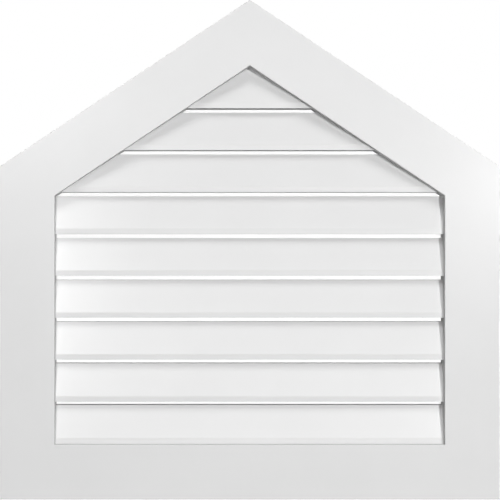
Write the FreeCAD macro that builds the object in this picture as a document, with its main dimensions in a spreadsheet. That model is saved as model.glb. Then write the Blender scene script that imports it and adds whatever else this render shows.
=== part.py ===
"""Peaked-top gable vent: five mitred trim boards round nine fixed louvers, with an insect screen behind.

Millimetres, +Z up. The wall plane is y = 0 and the vent stands in front of it, towards -Y.
The origin is the middle of the bottom edge, on the wall plane.
"""
import FreeCAD, Part
import math
import os

import Sketcher

SIZES = (
    ("width", "812.8", "overall width across the stiles"),
    ("height", "812.8", "overall height from bottom edge to peak"),
    ("roof_rise", "8", "rise of the roof pitch"),
    ("roof_run", "12", "run of the roof pitch"),
    ("board_width", "88.9", "face width of every trim board"),
    ("board_thickness", "31.75", "thickness of every trim board"),
    ("edge_round", "0.8", "radius of the eased front edges of the boards"),
    ("louver_count", "9", "louvers between sill and peak"),
    ("slot_height", "6.3", "clear height of the slot between two louvers"),
    ("lip_height", "9.1", "upright lip at the foot of a louver"),
    ("lip_setback", "9.4", "lip behind the front of the frame"),
    ("louver_lean", "8.6", "how far the sloping face leans back from lip to top"),
    ("housing_depth", "9.5", "depth of the housings that take the louver ends"),
    ("housing_clearance", "0.2", "play of a louver in its housing"),
    ("rebate_width", "19", "width of the screen rebate round the back of the opening"),
    ("rebate_depth", "1.2", "depth of the screen rebate"),
    ("screen_thickness", "0.35", "thickness of the insect screen"),
    ("screen_clearance", "0.5", "play between the screen's edge and the rebate"),
    ("screen_border", "8", "width of the screen's close-woven border"),
    ("strand_width", "2.4", "width of one bundle of screen strands"),
    ("strand_spacing", "64", "spacing of the bundles of screen strands"),
    ("staple_crown", "10", "outside width of a staple"),
    ("staple_wire", "0.55", "thickness of the staple wire"),
    ("staple_face", "1.2", "width of the staple wire"),
    ("staple_leg", "6", "length of a staple leg below the crown"),
    ("staple_spacing", "75", "widest spacing of the staples"),
)

LAYOUT = (
    ("roof_slope", "=sizes.roof_rise / sizes.roof_run", "rise per unit of run"),
    ("rake_stretch", "=sqrt(1 + roof_slope ^ 2)", "upright measure of a unit across a rake"),
    ("outer_shoulder", "=sizes.height - sizes.width / 2 * roof_slope", "outside corner of stile and rake"),
    ("opening_half", "=sizes.width / 2 - sizes.board_width", "half width of the opening"),
    ("opening_peak", "=sizes.height - sizes.board_width * rake_stretch", "peak of the opening"),
    ("opening_shoulder", "=opening_peak - opening_half * roof_slope", "inside corner of stile and rake"),
    ("louver_pitch", "=(opening_peak - sizes.board_width) / sizes.louver_count", "rise from louver to louver"),
    ("louver_height", "=louver_pitch - sizes.slot_height", "height of a louver"),
    ("peak_height", "=louver_pitch + sizes.housing_depth * rake_stretch", "height of the peak louver's stock"),
    ("lean_rate", "=sizes.louver_lean / (louver_height - sizes.lip_height)", "lean per unit of height"),
    ("lip_front", "=sizes.lip_setback - sizes.board_thickness", "front of the lips"),
    ("louver_reach", "=sizes.housing_depth - sizes.housing_clearance", "louver end, out from the opening"),
    ("screen_reach", "=sizes.rebate_width - sizes.screen_clearance", "screen edge, out from the opening"),
    ("border_reach", "=screen_reach - sizes.screen_border", "inside of the border, out from the opening"),
    ("staple_reach", "=(sizes.housing_depth + sizes.rebate_width) / 2", "staples, out from the opening"),
    ("screen_half", "=opening_half + screen_reach", "half width of the screen"),
    ("screen_bottom", "=sizes.board_width - screen_reach", "bottom edge of the screen"),
    ("screen_peak", "=opening_peak + screen_reach * rake_stretch", "peak of the screen"),
    ("strand_columns", "=floor(2 * screen_half / sizes.strand_spacing)", "upright bundles of strands"),
    ("strand_rows", "=floor((screen_peak - screen_bottom) / sizes.strand_spacing)", "level bundles of strands"),
    ("first_column", "=-(strand_columns - 1) / 2 * sizes.strand_spacing", "middle of the leftmost bundle"),
    ("first_row", "=screen_bottom + sizes.strand_spacing", "middle of the lowest bundle"),
)

# How far a cutting outline stands past the stock that it cuts.
MARGIN = "sizes.board_thickness"
ZERO = "0"
NEARLY_NOTHING = 1e-6
PARTS_FOLDER = "parts"

doc = FreeCAD.newDocument("gable_vent")


def fill_sheet(name, rows):
    """Makes a sheet with a note, a value and an alias in each row."""
    sheet = doc.addObject("Spreadsheet::Sheet", name)
    for number, (alias, value, note) in enumerate(rows, 1):
        sheet.set("A%d" % number, note)
        sheet.set("B%d" % number, value)
        sheet.setAlias("B%d" % number, alias)
    doc.recompute()
    return sheet


sizes = fill_sheet("sizes", SIZES)
layout = fill_sheet("layout", LAYOUT)


def new_body(name):
    """Starts a body under its own label."""
    body = doc.addObject("PartDesign::Body", name)
    body.Label = name
    return body


def origin_feature(body, role):
    """Finds a plane or an axis of a body's own origin."""
    for feature in body.Origin.OriginFeatures:
        if feature.Role == role:
            return feature
    raise ValueError(role)


def new_sketch(body, name, role):
    """Starts a sketch on one of the body's origin planes."""
    sketch = body.newObject("Sketcher::SketchObject", name)
    sketch.AttachmentSupport = (origin_feature(body, role), [""])
    sketch.MapMode = "FlatFace"
    return sketch


def tie(sketch, line, kind, expression):
    """Ties one coordinate of a line's first point to the sheets, or puts it on an axis."""
    if expression == ZERO:
        axis = -2 if kind == "DistanceX" else -1
        sketch.addConstraint(Sketcher.Constraint("PointOnObject", line, 1, axis))
        return
    value = float(sketch.evalExpression(expression))
    number = sketch.addConstraint(Sketcher.Constraint(kind, -1, 1, line, 1, value))
    sketch.setExpression("Constraints[%d]" % number, expression)


def add_polygon(sketch, corners):
    """Draws a closed polygon whose corners follow the sheets."""
    points = []
    for across, up in corners:
        x = float(sketch.evalExpression(across))
        y = float(sketch.evalExpression(up))
        points.append(FreeCAD.Vector(x, y, 0))
    first = sketch.GeometryCount
    count = len(points)
    for i in range(count):
        sketch.addGeometry(Part.LineSegment(points[i], points[(i + 1) % count]), False)
    for i in range(count):
        following = first + (i + 1) % count
        sketch.addConstraint(Sketcher.Constraint("Coincident", first + i, 2, following, 1))
    for i, (across, up) in enumerate(corners):
        tie(sketch, first + i, "DistanceX", across)
        tie(sketch, first + i, "DistanceY", up)


def add_box(sketch, left, right, bottom, top):
    """Draws a rectangle whose sides follow the sheets."""
    add_polygon(sketch, ((left, bottom), (right, bottom), (right, top), (left, top)))


def add_gable(sketch, reach, bottom, base=ZERO):
    """Draws the opening's outline grown by reach, with its own bottom line, in a frame raised by base."""
    half = "layout.opening_half + %s" % reach
    peak = "layout.opening_peak + %s * layout.rake_stretch - (%s)" % (reach, base)
    shoulder = "%s - (%s) * layout.roof_slope" % (peak, half)
    add_polygon(sketch, (
        ("-(%s)" % half, bottom),
        (half, bottom),
        (half, shoulder),
        (ZERO, peak),
        ("-(%s)" % half, shoulder),
    ))


def add_pad(body, name, sketch, length, side="One side", backward=False):
    """Pads a sketch by a length from the sheets."""
    pad = body.newObject("PartDesign::Pad", name)
    pad.Profile = sketch
    pad.SideType = side
    pad.Reversed = backward
    pad.setExpression("Length", length)
    return pad


def cut_through(body, name, sketch):
    """Cuts a sketch right through the body, both ways."""
    pocket = body.newObject("PartDesign::Pocket", name)
    pocket.Profile = sketch
    pocket.Type = "ThroughAll"
    pocket.SideType = "Symmetric"
    return pocket


def cut_outside(body, name, reach, base=ZERO):
    """Cuts away what lies outside the opening's outline grown by reach."""
    sketch = new_sketch(body, name + "_outline", "XZ_Plane")
    side = "sizes.width / 2 + %s" % MARGIN
    foot = "-(%s)" % base
    add_box(sketch, "-(%s)" % side, side, "%s - %s" % (foot, MARGIN), "sizes.height + %s + %s" % (foot, MARGIN))
    add_gable(sketch, reach, foot if base != ZERO else ZERO, base)
    return cut_through(body, name, sketch)


def front_edges(shape, along):
    """Names the edges of the front face that run along the board."""
    front = -sizes.board_thickness
    names = []
    for number, edge in enumerate(shape.Edges, 1):
        ends = [vertex.Point for vertex in edge.Vertexes]
        off_front = max(abs(end.y - front) for end in ends)
        off_line = (ends[1] - ends[0]).normalize().cross(along).Length
        if off_front < NEARLY_NOTHING and off_line < NEARLY_NOTHING:
            names.append("Edge%d" % number)
    return names


def make_board(name, along, corners):
    """Makes a mitred board with the screen rebate at its back and its long front edges eased."""
    body = new_body(name + "_stock")
    outline = new_sketch(body, name + "_outline", "XZ_Plane")
    add_polygon(outline, corners)
    add_pad(body, name + "_board", outline, "sizes.board_thickness")
    recess = new_sketch(body, name + "_recess", "XZ_Plane")
    add_gable(recess, "sizes.rebate_width", "sizes.board_width - sizes.rebate_width")
    rebate = body.newObject("PartDesign::Pocket", name + "_rebate")
    rebate.Profile = recess
    rebate.Reversed = True
    rebate.setExpression("Length", "sizes.rebate_depth")
    doc.recompute()
    eased = body.newObject("PartDesign::Fillet", name + "_eased")
    eased.Base = (rebate, front_edges(rebate.Shape, along))
    eased.setExpression("Radius", "sizes.edge_round")
    return body


def louver_base(number):
    """Height of a louver's foot above the bottom edge, with the louvers counted from the peak down."""
    step = "(sizes.louver_count - %d) * layout.louver_pitch" % number
    return "sizes.board_width + sizes.housing_clearance + " + step


def make_louver(name, number, front, back, foot, play, reach):
    """Makes a louver, or the tool that cuts its housing: a trimmed bar with a lip and a sloping face."""
    height = "layout.peak_height" if number == 1 else "layout.louver_height"
    top = "%s + %s" % (height, play)
    body = new_body(name)
    bar = new_sketch(body, name + "_section", "YZ_Plane")
    add_box(bar, front, back, foot, top)
    add_pad(body, name + "_bar", bar, "sizes.width", side="Symmetric")
    face = new_sketch(body, name + "_face", "YZ_Plane")
    ahead = "%s - %s" % (front, MARGIN)
    above = "%s + %s" % (top, MARGIN)
    add_polygon(face, (
        (ahead, "sizes.lip_height - %s / layout.lean_rate" % MARGIN),
        ("%s + (%s - sizes.lip_height) * layout.lean_rate" % (front, above), above),
        (ahead, above),
    ))
    cut_through(body, name + "_slope", face)
    cut_outside(body, name + "_ends", reach, louver_base(number))
    body.setExpression("Placement.Base.z", louver_base(number))
    return body


def make_strands(body, name, axis, copies, left, right, bottom, top):
    """Lays one bundle of screen strands and repeats it along an axis."""
    sketch = new_sketch(body, name + "_outline", "XZ_Plane")
    add_box(sketch, left, right, bottom, top)
    strand = add_pad(body, name + "_strand", sketch, "sizes.screen_thickness", backward=True)
    pattern = body.newObject("PartDesign::LinearPattern", name)
    pattern.Originals = [strand]
    pattern.Direction = (origin_feature(body, axis), [""])
    pattern.Mode = "Spacing"
    pattern.setExpression("Offset", "sizes.strand_spacing")
    pattern.setExpression("Occurrences", copies)
    body.Tip = pattern
    return pattern


def make_screen():
    """Makes the screen: a close border and crossing bundles of strands, cut to the opening's outline."""
    body = new_body("screen_weave")
    ring = new_sketch(body, "screen_ring", "XZ_Plane")
    add_gable(ring, "layout.screen_reach", "layout.screen_bottom")
    add_gable(ring, "layout.border_reach", "sizes.board_width - layout.border_reach")
    add_pad(body, "screen_border", ring, "sizes.screen_thickness", backward=True)
    half = "sizes.strand_width / 2"
    make_strands(
        body, "screen_columns", "X_Axis", "layout.strand_columns",
        "layout.first_column - " + half, "layout.first_column + " + half,
        "layout.screen_bottom", "layout.screen_peak",
    )
    make_strands(
        body, "screen_rows", "Z_Axis", "layout.strand_rows",
        "-layout.screen_half", "layout.screen_half",
        "layout.first_row - " + half, "layout.first_row + " + half,
    )
    body.Tip = cut_outside(body, "screen_trim", "layout.screen_reach")
    body.setExpression("Placement.Base.y", "-sizes.rebate_depth")
    return body


def staple_solid():
    """One staple: crown along X with its underside at y = 0, legs towards -Y."""
    half = sizes.staple_crown / 2
    wire = sizes.staple_wire
    foot = -sizes.staple_leg
    inside = half - wire
    section = (
        (-half, wire), (half, wire), (half, foot), (inside, foot),
        (inside, 0), (-inside, 0), (-inside, foot), (-half, foot),
    )
    points = [FreeCAD.Vector(x, y, -sizes.staple_face / 2) for x, y in section]
    face = Part.Face(Part.makePolygon(points + points[:1]))
    return face.extrude(FreeCAD.Vector(0, 0, sizes.staple_face))


def staple_row(start, end, seat):
    """Places staples evenly along one side of the screen."""
    way = end - start
    count = math.ceil(way.Length / sizes.staple_spacing)
    turn = FreeCAD.Rotation(FreeCAD.Vector(0, 1, 0), -math.degrees(math.atan2(way.z, way.x)))
    row = []
    for i in range(count):
        spot = start + way * ((i + 0.5) / count)
        spot.y = seat
        staple = staple_solid()
        staple.Placement = FreeCAD.Placement(spot, turn)
        row.append(staple)
    return row


def make_staples():
    """Makes the staples that hold the screen, all round its border."""
    reach = layout.staple_reach
    half = layout.opening_half + reach
    bottom = sizes.board_width - reach
    peak = layout.opening_peak + reach * layout.rake_stretch
    shoulder = peak - half * layout.roof_slope
    outline = ((-half, bottom), (half, bottom), (half, shoulder), (0, peak), (-half, shoulder))
    corners = [FreeCAD.Vector(x, 0, z) for x, z in outline]
    seat = sizes.screen_thickness - sizes.rebate_depth
    staples = []
    for start, end in zip(corners, corners[1:] + corners[:1]):
        staples += staple_row(start, end, seat)
    feature = doc.addObject("Part::Feature", "screen_staples")
    feature.Shape = Part.makeCompound(staples)
    feature.Placement = FreeCAD.Placement()
    return feature


def cut_piece(name, stock, tools):
    """Cuts the tools out of the stock and gives the piece its own name."""
    gathered = doc.addObject("Part::Compound", name + "_tools")
    gathered.Links = tools
    piece = doc.addObject("Part::Cut", name)
    piece.Base = stock
    piece.Tool = gathered
    piece.Label = name
    return piece


LEFT = "-sizes.width / 2"
RIGHT = "sizes.width / 2"
INNER_LEFT = "-layout.opening_half"
INNER_RIGHT = "layout.opening_half"
SILL = "sizes.board_width"
SHOULDER = "layout.outer_shoulder"
INNER_SHOULDER = "layout.opening_shoulder"
PEAK = "sizes.height"
INNER_PEAK = "layout.opening_peak"

level = FreeCAD.Vector(1, 0, 0)
upright = FreeCAD.Vector(0, 0, 1)
climbing = FreeCAD.Vector(sizes.roof_run, 0, sizes.roof_rise).normalize()
falling = FreeCAD.Vector(sizes.roof_run, 0, -sizes.roof_rise).normalize()

BOARDS = (
    ("bottom_rail", level, ((LEFT, ZERO), (RIGHT, ZERO), (INNER_RIGHT, SILL), (INNER_LEFT, SILL))),
    ("left_stile", upright,
     ((LEFT, ZERO), (INNER_LEFT, SILL), (INNER_LEFT, INNER_SHOULDER), (LEFT, SHOULDER))),
    ("right_stile", upright,
     ((RIGHT, ZERO), (RIGHT, SHOULDER), (INNER_RIGHT, INNER_SHOULDER), (INNER_RIGHT, SILL))),
    ("left_rake", climbing,
     ((LEFT, SHOULDER), (INNER_LEFT, INNER_SHOULDER), (ZERO, INNER_PEAK), (ZERO, PEAK))),
    ("right_rake", falling,
     ((RIGHT, SHOULDER), (ZERO, PEAK), (ZERO, INNER_PEAK), (INNER_RIGHT, INNER_SHOULDER))),
)

staples = make_staples()
pieces = [staples, cut_piece("insect_screen", make_screen(), [staples])]
housings = []
for number in range(1, int(sizes.louver_count) + 1):
    pieces.append(make_louver(
        "louver_%d" % number, number, "layout.lip_front", "-sizes.rebate_depth", ZERO, ZERO,
        "layout.louver_reach",
    ))
    housings.append(make_louver(
        "housing_%d" % number, number, "layout.lip_front - sizes.housing_clearance", MARGIN,
        "-sizes.housing_clearance", "sizes.housing_clearance", "sizes.housing_depth",
    ))
for name, along, corners in BOARDS:
    tools = [staples] if along is level else housings + [staples]
    pieces.append(cut_piece(name, make_board(name, along, corners), tools))

doc.recompute()
for item in doc.Objects:
    if "Invalid" in item.State or "Error" in item.State:
        raise RuntimeError("%s did not build: %s" % (item.Label, item.State))
for piece in pieces:
    if piece.Shape.isNull() or not piece.Shape.isValid():
        raise RuntimeError("%s has no valid shape" % piece.Label)

os.makedirs(PARTS_FOLDER, exist_ok=True)
for piece in pieces:
    piece.Shape.exportStep(os.path.join(PARTS_FOLDER, piece.Label + ".step"))
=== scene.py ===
"""Gable vent: finishes for its boards, louvers and staples, its insect mesh and a plain studio stage."""
import math

import bpy
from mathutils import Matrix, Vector


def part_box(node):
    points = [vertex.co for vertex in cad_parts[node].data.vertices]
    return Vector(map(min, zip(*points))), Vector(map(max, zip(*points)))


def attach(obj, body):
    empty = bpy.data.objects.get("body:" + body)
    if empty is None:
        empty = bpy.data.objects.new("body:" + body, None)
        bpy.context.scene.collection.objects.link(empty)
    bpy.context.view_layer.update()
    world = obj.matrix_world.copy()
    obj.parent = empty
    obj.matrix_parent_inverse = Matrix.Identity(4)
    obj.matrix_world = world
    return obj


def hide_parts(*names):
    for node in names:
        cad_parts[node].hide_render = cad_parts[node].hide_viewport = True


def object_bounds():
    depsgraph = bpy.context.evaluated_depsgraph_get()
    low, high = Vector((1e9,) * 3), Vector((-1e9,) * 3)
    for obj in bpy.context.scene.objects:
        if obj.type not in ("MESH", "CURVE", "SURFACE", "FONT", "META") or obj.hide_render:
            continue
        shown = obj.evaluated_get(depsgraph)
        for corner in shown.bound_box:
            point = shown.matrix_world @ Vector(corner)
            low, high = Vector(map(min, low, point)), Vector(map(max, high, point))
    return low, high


bl_info = {
    "name": "Gable vent",
    "version": (1, 0, 0),
    "blender": (4, 5, 0),
    "location": "View3D > Sidebar > Gable vent",
    "description": "Finishes a peaked-top gable vent and sets it on a plain stage",
    "category": "Object",
}

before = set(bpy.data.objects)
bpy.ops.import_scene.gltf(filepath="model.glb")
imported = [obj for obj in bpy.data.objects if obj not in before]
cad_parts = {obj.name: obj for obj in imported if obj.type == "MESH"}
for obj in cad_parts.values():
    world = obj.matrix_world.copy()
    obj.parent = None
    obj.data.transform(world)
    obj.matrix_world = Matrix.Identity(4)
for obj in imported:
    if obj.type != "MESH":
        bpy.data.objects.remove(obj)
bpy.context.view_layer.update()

BODY = "root"
SCREEN_NODE = "insect_screen"
STAPLE_NODE = "screen_staples"
LOUVERS = sorted(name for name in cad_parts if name.startswith("louver_"))

VENT_LOW, VENT_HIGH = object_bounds()
SCREEN_LOW, SCREEN_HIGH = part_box(SCREEN_NODE)
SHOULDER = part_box("left_stile")[1].z
ROOF_SLOPE = (VENT_HIGH.z - SHOULDER) / VENT_HIGH.x
ROOF_ANGLE = math.atan(ROOF_SLOPE)

# Each lamp: name, place, width and height, watts, and the rays that it serves.
LAMPS = (
    ("right_key", (2.4, -5.6, 0.6), (0.3, 0.7), 187.0, "shading"),
    ("left_fill", (-1.3, -5.6, 0.5), (0.8, 0.8), 59.0, "shading"),
    ("overhead", (-0.4, -5.2, 10.0), (4.0, 4.0), 605.0, "shading"),
    ("behind", (0.6, 4.5, 0.6), (2.0, 0.5), 110.0, "shading"),
    ("left_side", (-4.5, 0.8, 0.9), (1.0, 1.0), 75.0, "both"),
    ("right_side", (4.5, 0.8, 0.9), (1.0, 1.0), 85.0, "both"),
    ("right_glint", (2.25, -5.6, 0.88), (0.35, 0.7), 63.0, "reflections"),
    ("left_glint", (-1.3, -5.6, 2.3), (0.5, 0.8), 66.0, "reflections"),
    ("left_low_glint", (-1.3, -5.6, 1.5), (0.5, 0.8), 42.0, "reflections"),
    ("wide_glint", (0.3, -5.2, 1.4), (2.4, 1.0), 19.0, "reflections"),
    ("wide_low_glint", (0.5, -5.2, 0.6), (2.4, 0.9), 16.0, "reflections"),
)

# The floor fades to white between these distances from the vent.
FLOOR_FADE = (1.0, 4.0)
FLOOR_ROUGHNESS = 0.9
WHITE = (1.0, 1.0, 1.0, 1.0)

# A face is a cut edge where the share of its normal that looks out of the wall is below this band.
CUT_EDGE_BAND = (0.45, 0.55)

# Each noise: its scale and its detail.
CLOUD_NOISE = (9.0, 3.0)
STREAK_NOISE = (1.0, 4.0)
PORE_NOISE = (1400.0, 2.0)
SAW_NOISE = (1.0, 2.0)
TINT_NOISE = (260.0, 1.0)
SCRATCH_NOISE = (900.0, 3.0)

# The part of a noise's range that a finish uses.
CLOUD_BAND = (0.35, 0.7)
STREAK_BAND = (0.3, 0.7)
SCRATCH_BAND = (0.3, 0.7)

# Scales of the streaks and of the saw marks, along a board and across it.
STREAK_SCALE = (3.0, 90.0, 90.0)
SAW_SCALE = (420.0, 14.0, 14.0)

# How far a noise takes the roughness below and above its setting.
STREAK_SPREAD = (-0.01, 0.01)
SCRATCH_SPREAD = (-0.08, 0.1)

STRAND_SIDES = 6
STRAND_ROUGHNESS = 0.5

# Share of its colour that a strand keeps in its darkest places.
STRAND_DARKEST = 0.94

# Depths of the two layers of strands behind the front of the screen, in strand diameters.
UPRIGHT_LAYER = 0.5
LEVEL_LAYER = 1.3

# Inputs of the insect mesh's node tree, with the kind of each.
STRAND_INPUTS = {
    "Strand": "NodeSocketFloat",
    "Pitch": "NodeSocketFloat",
    "Half Width": "NodeSocketFloat",
    "Bottom": "NodeSocketFloat",
    "Peak": "NodeSocketFloat",
    "Slope": "NodeSocketFloat",
    "Front": "NodeSocketFloat",
    "Columns": "NodeSocketInt",
    "Rows": "NodeSocketInt",
    "Material": "NodeSocketMaterial",
}

# Each board with the turn about Y that lays its length along X.
BOARD_TURNS = {
    "bottom_rail": 0.0,
    "left_stile": math.pi / 2,
    "right_stile": math.pi / 2,
    "left_rake": ROOF_ANGLE,
    "right_rake": -ROOF_ANGLE,
}


class PvcSettings(bpy.types.PropertyGroup):
    """The white cellular PVC of the boards and louvers."""

    colour: bpy.props.FloatVectorProperty(
        name="Colour", description="White of the PVC", subtype="COLOR", size=3,
        min=0.0, max=1.0, default=(0.76, 0.76, 0.76),
    )
    clouding: bpy.props.FloatProperty(
        name="Clouding", description="How much darker the faint clouds in the white are",
        subtype="FACTOR", min=0.0, max=0.2, default=0.02,
    )
    # The sawn and routed edges are painted darker: partly for the duller open cells, and partly as
    # painted shade for the jambs, the louvers' undersides, the sill and the ledges in the opening.
    cut_dulling_and_painted_shade: bpy.props.FloatProperty(
        name="Cut shade", description="How much darker the open cells make the sawn and routed edges",
        subtype="FACTOR", min=0.0, max=0.5, default=0.2,
    )
    skin_roughness: bpy.props.FloatProperty(
        name="Skin roughness", description="Roughness of the rolled faces",
        subtype="FACTOR", min=0.0, max=1.0, default=0.25,
    )
    sheen_level: bpy.props.FloatProperty(
        name="Sheen level", description="Strength of the reflections on the PVC",
        subtype="FACTOR", min=0.0, max=1.0, default=0.25,
    )
    cut_roughness: bpy.props.FloatProperty(
        name="Cut roughness", description="Roughness of the sawn and routed edges",
        subtype="FACTOR", min=0.0, max=1.0, default=0.95,
    )
    skin_relief: bpy.props.FloatProperty(
        name="Skin relief", description="Depth of the fine grain of the rolled faces",
        unit="LENGTH", min=0.0, max=0.001, default=0.000004, precision=6,
    )
    cut_relief: bpy.props.FloatProperty(
        name="Cut relief", description="Depth of the marks on the cut edges",
        unit="LENGTH", min=0.0, max=0.001, default=0.00006, precision=6,
    )


class ScreenSettings(bpy.types.PropertyGroup):
    """The insect mesh behind the louvers."""

    strand: bpy.props.FloatProperty(
        name="Strand", description="Diameter of a mesh strand",
        unit="LENGTH", min=0.00005, max=0.001, default=0.00012, precision=6,
    )
    pitch: bpy.props.FloatProperty(
        name="Pitch", description="Spacing of the mesh strands",
        unit="LENGTH", min=0.0008, max=0.01, default=0.0016, precision=6,
    )
    colour: bpy.props.FloatVectorProperty(
        name="Colour", description="White of the mesh strands", subtype="COLOR", size=3,
        min=0.0, max=1.0, default=(0.9, 0.9, 0.89),
    )
    clearness: bpy.props.FloatProperty(
        name="Clearness", description="How much light passes through a strand",
        subtype="FACTOR", min=0.0, max=1.0, default=0.6,
    )


class StapleSettings(bpy.types.PropertyGroup):
    """The steel staples round the mesh."""

    colour: bpy.props.FloatVectorProperty(
        name="Colour", description="Colour of the staple wire", subtype="COLOR", size=3,
        min=0.0, max=1.0, default=(0.62, 0.62, 0.63),
    )
    roughness: bpy.props.FloatProperty(
        name="Roughness", description="Roughness of the staple wire",
        subtype="FACTOR", min=0.0, max=1.0, default=0.32,
    )


class StageSettings(bpy.types.PropertyGroup):
    """The floor, the world and the camera."""

    floor_size: bpy.props.FloatProperty(
        name="Floor size", description="Width of the floor",
        unit="LENGTH", min=1.0, max=100.0, default=40.0,
    )
    floor_colour: bpy.props.FloatVectorProperty(
        name="Floor colour", description="Grey of the floor for the light that it sends back",
        subtype="COLOR", size=3, min=0.0, max=1.0, default=(0.2, 0.2, 0.2),
    )
    floor_seen: bpy.props.FloatVectorProperty(
        name="Floor seen", description="Grey of the floor where it is seen as background",
        subtype="COLOR", size=3, min=0.0, max=1.0, default=(0.4, 0.4, 0.4),
    )
    floor_lift: bpy.props.FloatProperty(
        name="Floor lift", description="White added to the floor near the vent where it is seen",
        subtype="FACTOR", min=0.0, max=1.0, default=0.72,
    )
    ambient: bpy.props.FloatProperty(
        name="Ambient", description="Strength of the even light from all round",
        min=0.0, max=2.0, default=0.03,
    )
    camera_place: bpy.props.FloatVectorProperty(
        name="Camera place", description="Where the camera stands",
        subtype="TRANSLATION", size=3, default=(-0.115, -1.8674, 0.4058),
    )
    view_centre: bpy.props.FloatVectorProperty(
        name="View centre", description="Point of the front face in the middle of the picture",
        subtype="TRANSLATION", size=3, default=(0.0003, -0.03175, 0.4058),
    )
    view_width: bpy.props.FloatProperty(
        name="View width", description="Width of the picture at the front face",
        unit="LENGTH", min=0.1, max=10.0, default=0.8131,
    )


def link(obj):
    """Puts an object into the scene."""
    bpy.context.scene.collection.objects.link(obj)
    return obj


def new_material(name):
    """Makes a node material and gives its tree, its shader and a function that adds nodes."""
    material = bpy.data.materials.new(name)
    material.use_nodes = True
    tree = material.node_tree
    shader = tree.nodes["Principled BSDF"]

    def add(kind, **settings):
        node = tree.nodes.new(kind)
        for key, value in settings.items():
            setattr(node, key, value)
        return node

    return material, tree, shader, add


def rgba(colour):
    """Makes a colour opaque."""
    return (*colour, 1.0)


def feed(tree, value, socket):
    """Links a socket to an input, or sets a plain value on it."""
    if isinstance(value, bpy.types.NodeSocket):
        tree.links.new(value, socket)
    else:
        socket.default_value = value


def add_noise(add, tree, vector, scale, detail):
    """Adds a noise texture on a vector and gives its value."""
    noise = add("ShaderNodeTexNoise")
    noise.inputs["Scale"].default_value = scale
    noise.inputs["Detail"].default_value = detail
    tree.links.new(vector, noise.inputs["Vector"])
    return noise.outputs["Fac"]


def add_mapping(add, tree, vector, setting, value):
    """Adds a mapping with one setting on a vector and gives the new vector."""
    mapping = add("ShaderNodeMapping")
    mapping.inputs[setting].default_value = value
    tree.links.new(vector, mapping.inputs["Vector"])
    return mapping.outputs["Vector"]


def mixed(add, tree, factor, first, second, data_type="FLOAT", blend_type="MIX"):
    """Mixes two numbers, colours or sockets by a factor socket."""
    mix = add("ShaderNodeMix", data_type=data_type, blend_type=blend_type)
    tree.links.new(factor, mix.inputs["Factor"])
    feed(tree, first, mix.inputs["A"])
    feed(tree, second, mix.inputs["B"])
    return mix.outputs["Result"]


def map_range(add, tree, value, low, high, to_low, to_high):
    """Maps a value socket from one range to another."""
    node = add("ShaderNodeMapRange")
    tree.links.new(value, node.inputs["Value"])
    node.inputs["From Min"].default_value = low
    node.inputs["From Max"].default_value = high
    node.inputs["To Min"].default_value = to_low
    node.inputs["To Max"].default_value = to_high
    return node.outputs["Result"]


def cut_edge_factor(add, tree):
    """Gives 1 on faces that look along the wall and 0 on faces that look out of it."""
    geometry = add("ShaderNodeNewGeometry")
    own = add(
        "ShaderNodeVectorTransform", vector_type="NORMAL", convert_from="WORLD", convert_to="OBJECT",
    )
    split = add("ShaderNodeSeparateXYZ")
    size = add("ShaderNodeMath", operation="ABSOLUTE")
    tree.links.new(geometry.outputs["True Normal"], own.inputs["Vector"])
    tree.links.new(own.outputs["Vector"], split.inputs["Vector"])
    tree.links.new(split.outputs["Y"], size.inputs[0])
    return map_range(add, tree, size.outputs["Value"], *CUT_EDGE_BAND, 1.0, 0.0)


def white_pvc(name, turn, settings):
    """White cellular PVC: satin rolled faces with a faint lengthwise grain, and dull sawn edges painted
    darker, partly for their open cells and partly as painted shade for the recesses of the opening.
    """
    material, tree, shader, add = new_material(name)
    place = add("ShaderNodeTexCoord").outputs["Object"]
    lengthwise = add_mapping(add, tree, place, "Rotation", (0.0, turn, 0.0))
    streaked = add_mapping(add, tree, lengthwise, "Scale", STREAK_SCALE)
    sawn = add_mapping(add, tree, lengthwise, "Scale", SAW_SCALE)
    clouds = add_noise(add, tree, place, *CLOUD_NOISE)
    streaks = add_noise(add, tree, streaked, *STREAK_NOISE)
    pores = add_noise(add, tree, place, *PORE_NOISE)
    saw_marks = add_noise(add, tree, sawn, *SAW_NOISE)
    edge = cut_edge_factor(add, tree)

    colour = Vector(settings.colour)
    cloud_colour = colour * (1.0 - settings.clouding)
    cloud_amount = map_range(add, tree, clouds, *CLOUD_BAND, 0.0, 1.0)
    skin_colour = mixed(add, tree, cloud_amount, rgba(colour), rgba(cloud_colour), "RGBA")
    # Painted shade: the cut edges' base colour is darkened, partly for their duller open cells and
    # partly for the shade that falls in the jambs, undersides, sill and ledges of the opening.
    cut_dulling_and_painted_shade_tint = rgba([1.0 - settings.cut_dulling_and_painted_shade] * 3)
    shade = mixed(add, tree, edge, skin_colour, cut_dulling_and_painted_shade_tint, "RGBA", "MULTIPLY")
    tree.links.new(shade, shader.inputs["Base Color"])

    spread = [settings.skin_roughness + step for step in STREAK_SPREAD]
    skin_roughness = map_range(add, tree, streaks, *STREAK_BAND, *spread)
    roughness = mixed(add, tree, edge, skin_roughness, settings.cut_roughness)
    tree.links.new(roughness, shader.inputs["Roughness"])
    shader.inputs["Specular IOR Level"].default_value = settings.sheen_level

    relief = add("ShaderNodeBump")
    relief.inputs["Strength"].default_value = 1.0
    depth = map_range(add, tree, edge, 0.0, 1.0, settings.skin_relief, settings.cut_relief)
    tree.links.new(depth, relief.inputs["Distance"])
    tree.links.new(mixed(add, tree, edge, pores, saw_marks), relief.inputs["Height"])
    tree.links.new(relief.outputs["Normal"], shader.inputs["Normal"])
    return material


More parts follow.
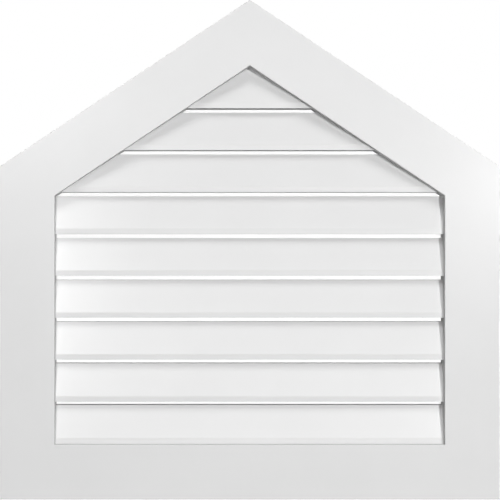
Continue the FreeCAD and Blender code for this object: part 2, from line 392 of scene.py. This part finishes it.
def mesh_strand_finish(settings):
    """Milky coated glass-fibre strands, a little brighter in some places than in others."""
    material, tree, shader, add = new_material("white_strands")
    place = add("ShaderNodeTexCoord").outputs["Object"]
    tint = add_noise(add, tree, place, *TINT_NOISE)
    colour = Vector(settings.colour)
    shade = mixed(add, tree, tint, rgba(colour), rgba(colour * STRAND_DARKEST), "RGBA")
    tree.links.new(shade, shader.inputs["Base Color"])
    shader.inputs["Roughness"].default_value = STRAND_ROUGHNESS
    shader.inputs["Transmission Weight"].default_value = settings.clearness
    return material


def staple_steel(settings):
    """Bright drawn steel wire with fine scratches."""
    material, tree, shader, add = new_material("staple_wire")
    place = add("ShaderNodeTexCoord").outputs["Object"]
    scratches = add_noise(add, tree, place, *SCRATCH_NOISE)
    spread = [settings.roughness + step for step in SCRATCH_SPREAD]
    roughness = map_range(add, tree, scratches, *SCRATCH_BAND, *spread)
    tree.links.new(roughness, shader.inputs["Roughness"])
    shader.inputs["Base Color"].default_value = rgba(settings.colour)
    shader.inputs["Metallic"].default_value = 1.0
    return material


def dress(node, material):
    """Gives a CAD piece its finish."""
    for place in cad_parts[node].material_slots:
        place.material = material


def strand_tree():
    """Node tree of the insect mesh: upright and level strands, each cut to the gable outline."""
    tree = bpy.data.node_groups.new("insect_mesh", "GeometryNodeTree")
    for name, kind in STRAND_INPUTS.items():
        tree.interface.new_socket(name, in_out="INPUT", socket_type=kind)
    tree.interface.new_socket("Geometry", in_out="OUTPUT", socket_type="NodeSocketGeometry")
    sizes = tree.nodes.new("NodeGroupInput").outputs

    def calc(operation, *values):
        node = tree.nodes.new("ShaderNodeMath")
        node.operation = operation
        for value, socket in zip(values, node.inputs):
            feed(tree, value, socket)
        return node.outputs[0]

    def point(x, y, z):
        node = tree.nodes.new("ShaderNodeCombineXYZ")
        for value, socket in zip((x, y, z), node.inputs):
            feed(tree, value, socket)
        return node.outputs[0]

    def strands(count, start, step, place, length, rotation):
        line = tree.nodes.new("GeometryNodeMeshLine")
        line.mode = "OFFSET"
        feed(tree, count, line.inputs["Count"])
        feed(tree, start, line.inputs["Start Location"])
        feed(tree, step, line.inputs["Offset"])
        spread = tree.nodes.new("GeometryNodeSetPosition")
        tree.links.new(line.outputs["Mesh"], spread.inputs["Geometry"])
        feed(tree, place, spread.inputs["Position"])
        rod = tree.nodes.new("GeometryNodeMeshCylinder")
        rod.inputs["Vertices"].default_value = STRAND_SIDES
        feed(tree, calc("DIVIDE", sizes["Strand"], 2.0), rod.inputs["Radius"])
        rod.inputs["Depth"].default_value = 1.0
        copies = tree.nodes.new("GeometryNodeInstanceOnPoints")
        tree.links.new(spread.outputs["Geometry"], copies.inputs["Points"])
        tree.links.new(rod.outputs["Mesh"], copies.inputs["Instance"])
        feed(tree, point(1.0, 1.0, length), copies.inputs["Scale"])
        copies.inputs["Rotation"].default_value = rotation
        return copies.outputs["Instances"]

    split = tree.nodes.new("ShaderNodeSeparateXYZ")
    tree.links.new(tree.nodes.new("GeometryNodeInputPosition").outputs[0], split.inputs[0])
    x, z = split.outputs["X"], split.outputs["Z"]

    top = calc("SUBTRACT", sizes["Peak"], calc("MULTIPLY", calc("ABSOLUTE", x), sizes["Slope"]))
    tall = calc("SUBTRACT", top, sizes["Bottom"])
    middle = calc("MULTIPLY", calc("ADD", top, sizes["Bottom"]), 0.5)
    columns_wide = calc("MULTIPLY", sizes["Pitch"], calc("SUBTRACT", sizes["Columns"], 1.0))
    first_column = calc("MULTIPLY", columns_wide, -0.5)
    upright_depth = calc("MULTIPLY_ADD", sizes["Strand"], UPRIGHT_LAYER, sizes["Front"])
    uprights = strands(
        sizes["Columns"], point(first_column, 0.0, 0.0), point(sizes["Pitch"], 0.0, 0.0),
        point(x, upright_depth, middle), tall, (0.0, 0.0, 0.0),
    )

    reach = calc("DIVIDE", calc("SUBTRACT", sizes["Peak"], z), sizes["Slope"])
    wide = calc("MULTIPLY", calc("MINIMUM", reach, sizes["Half Width"]), 2.0)
    first_row = calc("MULTIPLY_ADD", sizes["Pitch"], 0.5, sizes["Bottom"])
    level_depth = calc("MULTIPLY_ADD", sizes["Strand"], LEVEL_LAYER, sizes["Front"])
    levels = strands(
        sizes["Rows"], point(0.0, 0.0, first_row), point(0.0, 0.0, sizes["Pitch"]),
        point(0.0, level_depth, z), wide, (0.0, math.pi / 2, 0.0),
    )

    together = tree.nodes.new("GeometryNodeJoinGeometry")
    tree.links.new(uprights, together.inputs[0])
    tree.links.new(levels, together.inputs[0])
    realize = tree.nodes.new("GeometryNodeRealizeInstances")
    finish = tree.nodes.new("GeometryNodeSetMaterial")
    output = tree.nodes.new("NodeGroupOutput")
    tree.links.new(together.outputs[0], realize.inputs[0])
    tree.links.new(realize.outputs[0], finish.inputs["Geometry"])
    tree.links.new(sizes["Material"], finish.inputs["Material"])
    tree.links.new(finish.outputs[0], output.inputs[0])
    return tree


def grow_mesh(name, tree, values):
    """Runs a node tree with the given inputs and keeps its result as a plain mesh object."""
    piece = link(bpy.data.objects.new(name, bpy.data.meshes.new(name + "_seed")))
    modifier = piece.modifiers.new(name, "NODES")
    modifier.node_group = tree
    for item in tree.interface.items_tree:
        if item.in_out == "INPUT":
            modifier[item.identifier] = values[item.name]
    graph = bpy.context.evaluated_depsgraph_get()
    mesh = bpy.data.meshes.new_from_object(piece.evaluated_get(graph))
    piece.modifiers.remove(modifier)
    piece.data = mesh
    mesh.name = name
    if not mesh.polygons:
        raise RuntimeError(name + " came out empty")
    return piece


class GABLEVENT_OT_boards(bpy.types.Operator):
    """Finish the five trim boards"""

    bl_idname = "gable_vent.boards"
    bl_label = "Finish boards"

    def execute(self, context):
        for node, turn in BOARD_TURNS.items():
            dress(node, white_pvc(node + "_pvc", turn, context.scene.vent_pvc))
        return {"FINISHED"}


class GABLEVENT_OT_louvers(bpy.types.Operator):
    """Finish the louvers"""

    bl_idname = "gable_vent.louvers"
    bl_label = "Finish louvers"

    def execute(self, context):
        material = white_pvc("louver_pvc", 0.0, context.scene.vent_pvc)
        for node in LOUVERS:
            dress(node, material)
        return {"FINISHED"}


class GABLEVENT_OT_screen(bpy.types.Operator):
    """Weave the insect mesh behind the louvers"""

    bl_idname = "gable_vent.screen"
    bl_label = "Weave insect mesh"

    def execute(self, context):
        settings = context.scene.vent_screen
        width = SCREEN_HIGH.x - SCREEN_LOW.x
        height = SCREEN_HIGH.z - SCREEN_LOW.z
        screen = grow_mesh("insect_mesh", strand_tree(), {
            "Strand": settings.strand,
            "Pitch": settings.pitch,
            "Half Width": width / 2,
            "Bottom": SCREEN_LOW.z,
            "Peak": SCREEN_HIGH.z,
            "Slope": ROOF_SLOPE,
            "Front": SCREEN_LOW.y,
            "Columns": int(width / settings.pitch),
            "Rows": int(height / settings.pitch),
            "Material": mesh_strand_finish(settings),
        })
        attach(screen, BODY)
        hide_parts(SCREEN_NODE)
        return {"FINISHED"}


class GABLEVENT_OT_staples(bpy.types.Operator):
    """Finish the staples"""

    bl_idname = "gable_vent.staples"
    bl_label = "Finish staples"

    def execute(self, context):
        dress(STAPLE_NODE, staple_steel(context.scene.vent_staples))
        return {"FINISHED"}


def background_rays(tree):
    """Gives 1 for rays that show the background: seen, reflected or through clear pieces."""
    path = tree.nodes.new("ShaderNodeLightPath")
    seen = path.outputs["Is Camera Ray"]
    for name in ("Is Glossy Ray", "Is Transmission Ray"):
        either = tree.nodes.new("ShaderNodeMath")
        either.operation = "MAXIMUM"
        tree.links.new(seen, either.inputs[0])
        tree.links.new(path.outputs[name], either.inputs[1])
        seen = either.outputs[0]
    return seen


def make_floor(settings):
    """A pale floor that the vent stands on, which fades to white where it is seen as background."""
    half = settings.floor_size / 2
    mesh = bpy.data.meshes.new("floor")
    corners = [(-half, -half, 0.0), (half, -half, 0.0), (half, half, 0.0), (-half, half, 0.0)]
    mesh.from_pydata(corners, [], [(0, 1, 2, 3)])
    floor = link(bpy.data.objects.new("floor", mesh))
    floor.location.z = VENT_LOW.z
    material, tree, shader, add = new_material("floor_paint")
    seen = background_rays(tree)
    paint = mixed(add, tree, seen, rgba(settings.floor_colour), rgba(settings.floor_seen), "RGBA")
    tree.links.new(paint, shader.inputs["Base Color"])
    shader.inputs["Roughness"].default_value = FLOOR_ROUGHNESS
    shader.inputs["Specular IOR Level"].default_value = 0.0
    shader.inputs["Emission Color"].default_value = WHITE
    place = add("ShaderNodeTexCoord")
    distance = add("ShaderNodeVectorMath", operation="LENGTH")
    tree.links.new(place.outputs["Object"], distance.inputs[0])
    white = map_range(add, tree, distance.outputs["Value"], *FLOOR_FADE, settings.floor_lift, 1.0)
    lift = add("ShaderNodeMath", operation="MULTIPLY")
    tree.links.new(seen, lift.inputs[0])
    tree.links.new(white, lift.inputs[1])
    tree.links.new(lift.outputs[0], shader.inputs["Emission Strength"])
    mesh.materials.append(material)


def make_world(settings):
    """Even light from all round, on a background that the camera and reflections see as white."""
    world = bpy.data.worlds.new("studio")
    world.use_nodes = True
    tree = world.node_tree
    even = tree.nodes["Background"]
    even.inputs["Color"].default_value = WHITE
    even.inputs["Strength"].default_value = settings.ambient
    white = tree.nodes.new("ShaderNodeBackground")
    white.inputs["Color"].default_value = WHITE
    mix = tree.nodes.new("ShaderNodeMixShader")
    tree.links.new(background_rays(tree), mix.inputs["Fac"])
    tree.links.new(even.outputs[0], mix.inputs[1])
    tree.links.new(white.outputs[0], mix.inputs[2])
    tree.links.new(mix.outputs[0], tree.nodes["World Output"].inputs["Surface"])
    bpy.context.scene.world = world


def make_lamp(aim, name, place, size, power, rays):
    """A soft rectangular lamp that looks at a point, for shading, for reflections or for both."""
    data = bpy.data.lights.new(name, "AREA")
    data.shape = "RECTANGLE"
    data.size, data.size_y = size
    data.energy = power
    lamp = link(bpy.data.objects.new(name, data))
    lamp.location = place
    lamp.rotation_euler = (Vector(aim) - Vector(place)).to_track_quat("-Z", "Y").to_euler()
    lamp.visible_diffuse = rays != "reflections"
    lamp.visible_glossy = rays != "shading"
    return lamp


def make_camera(settings):
    """A camera square to the wall, shifted to the photograph's framing."""
    data = bpy.data.cameras.new("camera")
    camera = link(bpy.data.objects.new("camera", data))
    place = Vector(settings.camera_place)
    centre = Vector(settings.view_centre)
    camera.location = place
    camera.rotation_euler = (math.pi / 2, 0.0, 0.0)
    distance = centre.y - place.y
    data.lens = data.sensor_width * distance / settings.view_width
    data.shift_x = (centre.x - place.x) / settings.view_width
    data.shift_y = (centre.z - place.z) / settings.view_width
    bpy.context.scene.camera = camera


class GABLEVENT_OT_stage(bpy.types.Operator):
    """Set the floor, the lamps and the camera"""

    bl_idname = "gable_vent.stage"
    bl_label = "Set stage"

    def execute(self, context):
        settings = context.scene.vent_stage
        make_floor(settings)
        make_world(settings)
        middle = (VENT_LOW + VENT_HIGH) / 2
        for lamp in LAMPS:
            make_lamp(middle, *lamp)
        make_camera(settings)
        context.scene.view_settings.view_transform = "Standard"
        return {"FINISHED"}


class GABLEVENT_PT_sidebar(bpy.types.Panel):
    """Sizes and finishes of the vent, with a button for each step"""

    bl_label = "Gable vent"
    bl_idname = "GABLEVENT_PT_sidebar"
    bl_space_type = "VIEW_3D"
    bl_region_type = "UI"
    bl_category = "Gable vent"

    def draw(self, context):
        for group, operators in PANEL_ROWS:
            box = self.layout.box()
            for name in getattr(context.scene, group).bl_rna.properties.keys():
                if name not in ("rna_type", "name"):
                    box.prop(getattr(context.scene, group), name)
            for operator in operators:
                box.operator(operator)


PANEL_ROWS = (
    ("vent_pvc", (GABLEVENT_OT_boards.bl_idname, GABLEVENT_OT_louvers.bl_idname)),
    ("vent_screen", (GABLEVENT_OT_screen.bl_idname,)),
    ("vent_staples", (GABLEVENT_OT_staples.bl_idname,)),
    ("vent_stage", (GABLEVENT_OT_stage.bl_idname,)),
)
SETTINGS = {
    "vent_pvc": PvcSettings,
    "vent_screen": ScreenSettings,
    "vent_staples": StapleSettings,
    "vent_stage": StageSettings,
}
CLASSES = (
    *SETTINGS.values(),
    GABLEVENT_OT_boards,
    GABLEVENT_OT_louvers,
    GABLEVENT_OT_screen,
    GABLEVENT_OT_staples,
    GABLEVENT_OT_stage,
    GABLEVENT_PT_sidebar,
)


def register():
    """Registers the classes and hangs the settings on the scene."""
    for item in CLASSES:
        bpy.utils.register_class(item)
    for name, group in SETTINGS.items():
        setattr(bpy.types.Scene, name, bpy.props.PointerProperty(type=group))


def unregister():
    """Undoes register."""
    for name in SETTINGS:
        delattr(bpy.types.Scene, name)
    for item in reversed(CLASSES):
        bpy.utils.unregister_class(item)


def main():
    """Makes every piece and the stage."""
    register()
    bpy.ops.gable_vent.boards()
    bpy.ops.gable_vent.louvers()
    bpy.ops.gable_vent.screen()
    bpy.ops.gable_vent.staples()
    bpy.ops.gable_vent.stage()


if __name__ == "__main__":
    main()
